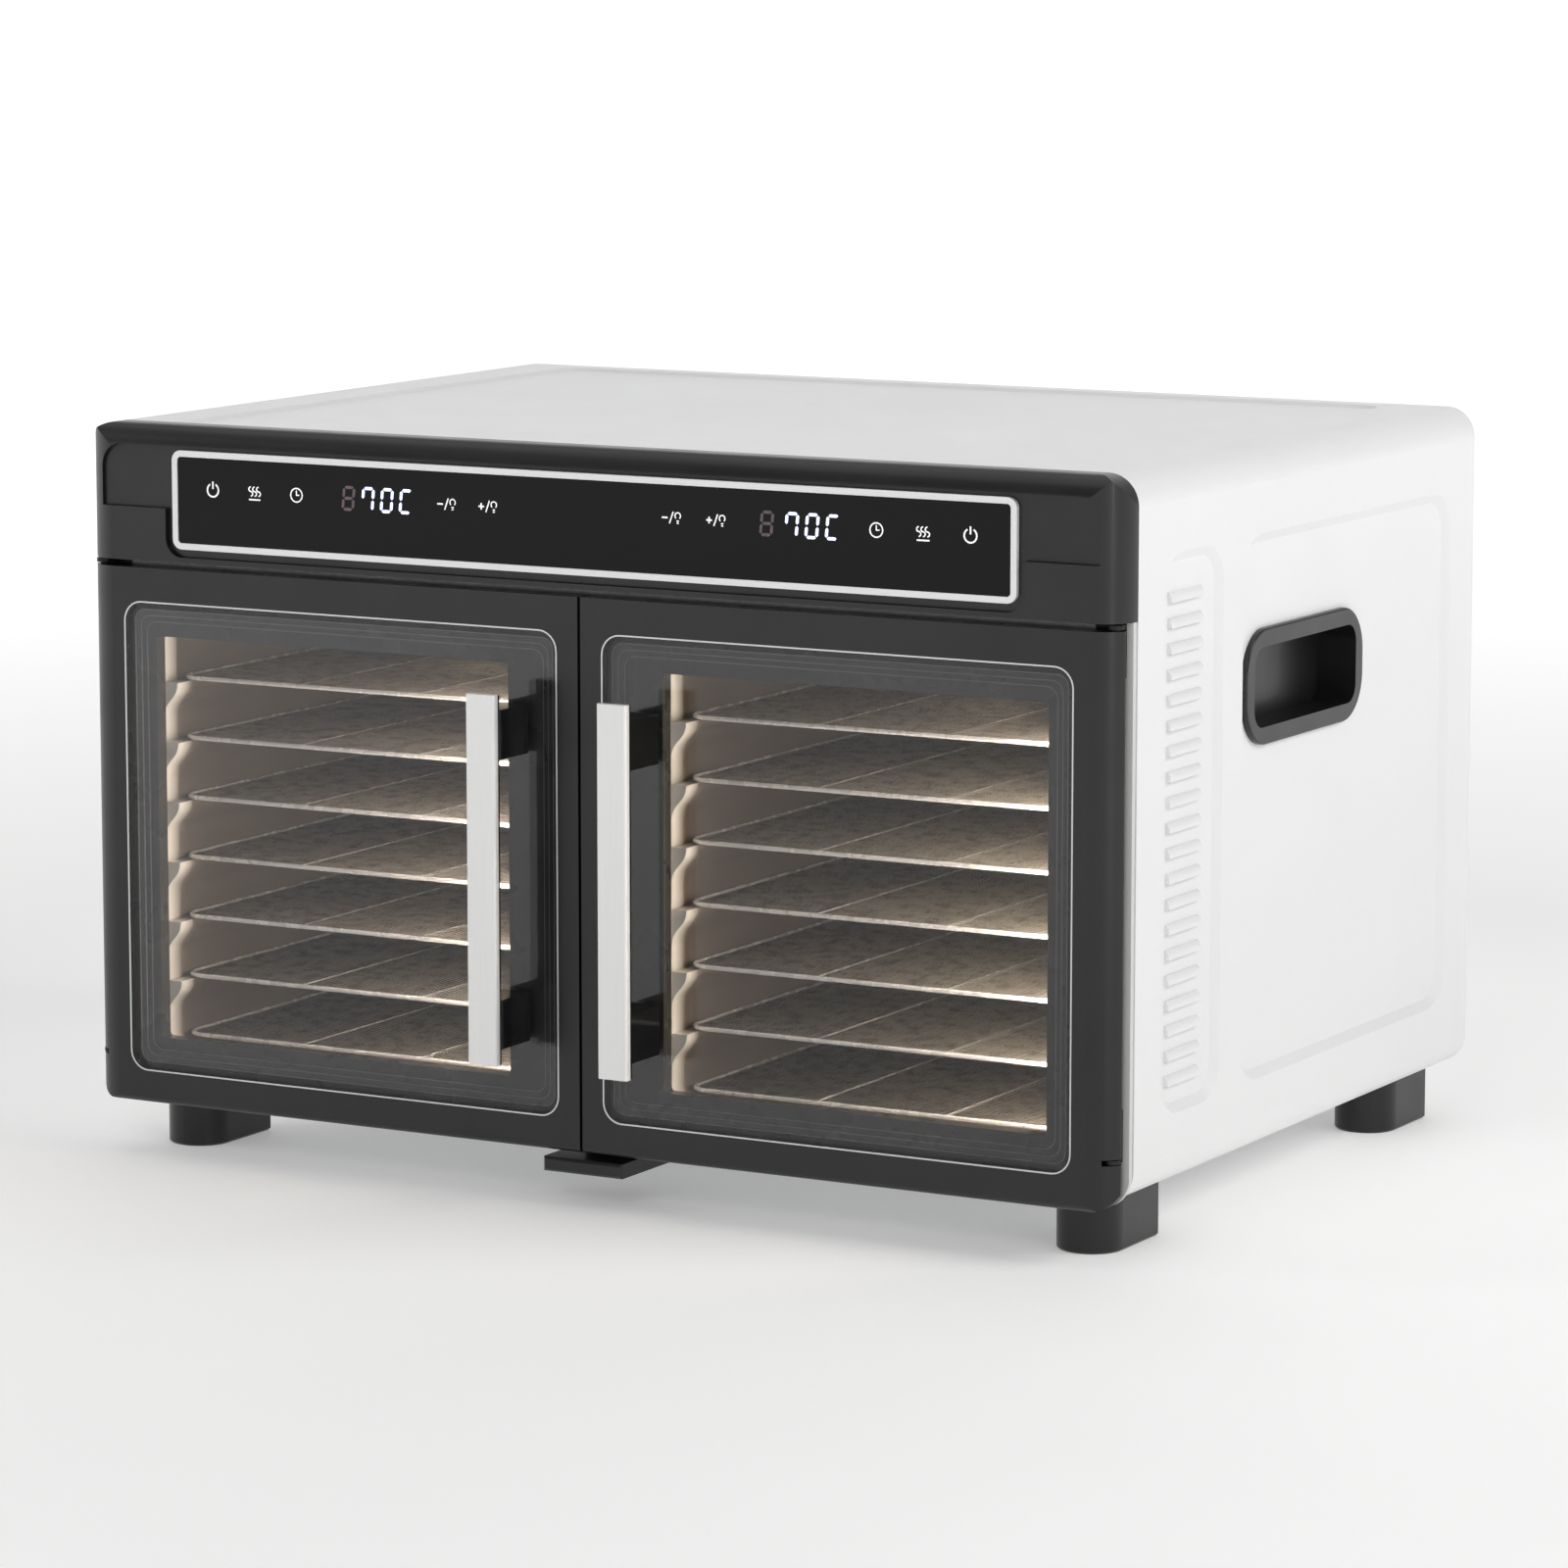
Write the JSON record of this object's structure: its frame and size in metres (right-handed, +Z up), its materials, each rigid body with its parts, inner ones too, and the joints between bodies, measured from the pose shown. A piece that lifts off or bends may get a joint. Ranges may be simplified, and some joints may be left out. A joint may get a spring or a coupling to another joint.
{
  "type": "food dehydrator",
  "caption": "Two-zone countertop food dehydrator with glazed double doors, mesh trays, a black touch-control head and a louvred white cabinet.",
  "frame": {"origin": "on the floor under the feet, at the centre of the whole object's footprint, handles included", "axes": "+X across the front from the left door to the right one, +Y from the front to the back, +Z up"},
  "size_m": [0.56, 0.429, 0.3595],
  "materials": {
    "cabinet_paint": "fine satin white powder coat",
    "frame_paint": "satin white powder coat",
    "galvanised_steel": "dull galvanised",
    "black_plastic": "satin black, very fine texture",
    "gloss_black": "gloss black",
    "satin_trim": "satin plated",
    "panel_glass": "polished black",
    "board_green": "lacquered board",
    "display_black": "matt",
    "liner_enamel": "satin enamel",
    "guard_steel": "brushed",
    "heater_sheath": "heat darkened",
    "motor_steel": "plain plated",
    "shaft_steel": "ground",
    "screw_steel": "zinc plated",
    "magnet_steel": "nickel plated",
    "lamp_lens": "frosted",
    "foot_rubber": "matt",
    "seal_rubber": "matt silicone",
    "smoked_glass": "polished, lightly smoked",
    "handle_aluminium": "brushed and anodised",
    "tray_wire": "bright wire"
  },
  "bodies": {
    "cabinet": {"cabinet_wrap": "cabinet_paint", "base_pan": "galvanised_steel", "rear_panel": "cabinet_paint", "front_frame": "frame_paint", "control_head": "black_plastic", "panel_trim": "satin_trim", "control_glass": "panel_glass", "control_board": "board_green", "display_modules": "display_black", "left_liner": "liner_enamel", "right_liner": "liner_enamel", "left_fan_guard": "guard_steel", "right_fan_guard": "guard_steel", "left_heater": "heater_sheath", "right_heater": "heater_sheath", "left_motor": "motor_steel", "right_motor": "motor_steel", "temperature_sensors": "shaft_steel", "chamber_lamps": "lamp_lens", "power_board": "board_green", "power_inlet": "black_plastic", "left_grip": "black_plastic", "right_grip": "black_plastic", "feet": "foot_rubber", "catch_plate": "black_plastic", "base_screws": "screw_steel", "rear_screws": "screw_steel", "hinge_plates": "screw_steel"},
    "left_door": {"left_door_frame": "black_plastic", "left_door_glass": "smoked_glass", "left_window_surround": "black_plastic", "left_door_seal": "seal_rubber", "left_door_magnets": "magnet_steel", "left_handle_bar": "handle_aluminium", "left_handle_bracket": "gloss_black"},
    "left_fan": {"left_fan": "guard_steel", "left_fan_shaft": "shaft_steel"},
    "left_tray_1": {"left_tray_1": "tray_wire"},
    "left_tray_2": {"left_tray_2": "tray_wire"},
    "left_tray_3": {"left_tray_3": "tray_wire"},
    "left_tray_4": {"left_tray_4": "tray_wire"},
    "left_tray_5": {"left_tray_5": "tray_wire"},
    "left_tray_6": {"left_tray_6": "tray_wire"},
    "left_tray_7": {"left_tray_7": "tray_wire"},
    "right_door": {"right_door_frame": "black_plastic", "right_door_glass": "smoked_glass", "right_window_surround": "black_plastic", "right_door_seal": "seal_rubber", "right_door_magnets": "magnet_steel", "right_handle_bar": "handle_aluminium", "right_handle_bracket": "gloss_black"},
    "right_fan": {"right_fan": "guard_steel", "right_fan_shaft": "shaft_steel"},
    "right_tray_1": {"right_tray_1": "tray_wire"},
    "right_tray_2": {"right_tray_2": "tray_wire"},
    "right_tray_3": {"right_tray_3": "tray_wire"},
    "right_tray_4": {"right_tray_4": "tray_wire"},
    "right_tray_5": {"right_tray_5": "tray_wire"},
    "right_tray_6": {"right_tray_6": "tray_wire"},
    "right_tray_7": {"right_tray_7": "tray_wire"}
  },
  "joints": [
    {"name": "left_door_hinge", "type": "hinge", "parent": "cabinet", "child": "left_door", "pos_m": [-0.27382, -0.1752, 0.15825], "axis": [0, 0, -1], "range_deg": [0, 110]},
    {"name": "right_door_hinge", "type": "hinge", "parent": "cabinet", "child": "right_door", "pos_m": [0.27382, -0.1752, 0.15825], "axis": [0, 0, 1], "range_deg": [0, 110]},
    {"name": "left_fan_spin", "type": "hinge", "parent": "cabinet", "child": "left_fan", "pos_m": [-0.143, 0.1675, 0.15775], "axis": [0, 1, 0], "continuous": true},
    {"name": "right_fan_spin", "type": "hinge", "parent": "cabinet", "child": "right_fan", "pos_m": [0.143, 0.1675, 0.15775], "axis": [0, 1, 0], "continuous": true},
    {"name": "left_tray_1_slide", "type": "slide", "parent": "cabinet", "child": "left_tray_1", "axis": [0, -1, 0], "range_m": [0, 0.014]},
    {"name": "left_tray_2_slide", "type": "slide", "parent": "cabinet", "child": "left_tray_2", "axis": [0, -1, 0], "range_m": [0, 0.014]},
    {"name": "left_tray_3_slide", "type": "slide", "parent": "cabinet", "child": "left_tray_3", "axis": [0, -1, 0], "range_m": [0, 0.014]},
    {"name": "left_tray_4_slide", "type": "slide", "parent": "cabinet", "child": "left_tray_4", "axis": [0, -1, 0], "range_m": [0, 0.014]},
    {"name": "left_tray_5_slide", "type": "slide", "parent": "cabinet", "child": "left_tray_5", "axis": [0, -1, 0], "range_m": [0, 0.014]},
    {"name": "left_tray_6_slide", "type": "slide", "parent": "cabinet", "child": "left_tray_6", "axis": [0, -1, 0], "range_m": [0, 0.014]},
    {"name": "left_tray_7_slide", "type": "slide", "parent": "cabinet", "child": "left_tray_7", "axis": [0, -1, 0], "range_m": [0, 0.014]},
    {"name": "right_tray_1_slide", "type": "slide", "parent": "cabinet", "child": "right_tray_1", "axis": [0, -1, 0], "range_m": [0, 0.014]},
    {"name": "right_tray_2_slide", "type": "slide", "parent": "cabinet", "child": "right_tray_2", "axis": [0, -1, 0], "range_m": [0, 0.014]},
    {"name": "right_tray_3_slide", "type": "slide", "parent": "cabinet", "child": "right_tray_3", "axis": [0, -1, 0], "range_m": [0, 0.014]},
    {"name": "right_tray_4_slide", "type": "slide", "parent": "cabinet", "child": "right_tray_4", "axis": [0, -1, 0], "range_m": [0, 0.014]},
    {"name": "right_tray_5_slide", "type": "slide", "parent": "cabinet", "child": "right_tray_5", "axis": [0, -1, 0], "range_m": [0, 0.014]},
    {"name": "right_tray_6_slide", "type": "slide", "parent": "cabinet", "child": "right_tray_6", "axis": [0, -1, 0], "range_m": [0, 0.014]},
    {"name": "right_tray_7_slide", "type": "slide", "parent": "cabinet", "child": "right_tray_7", "axis": [0, -1, 0], "range_m": [0, 0.014]}
  ]
}
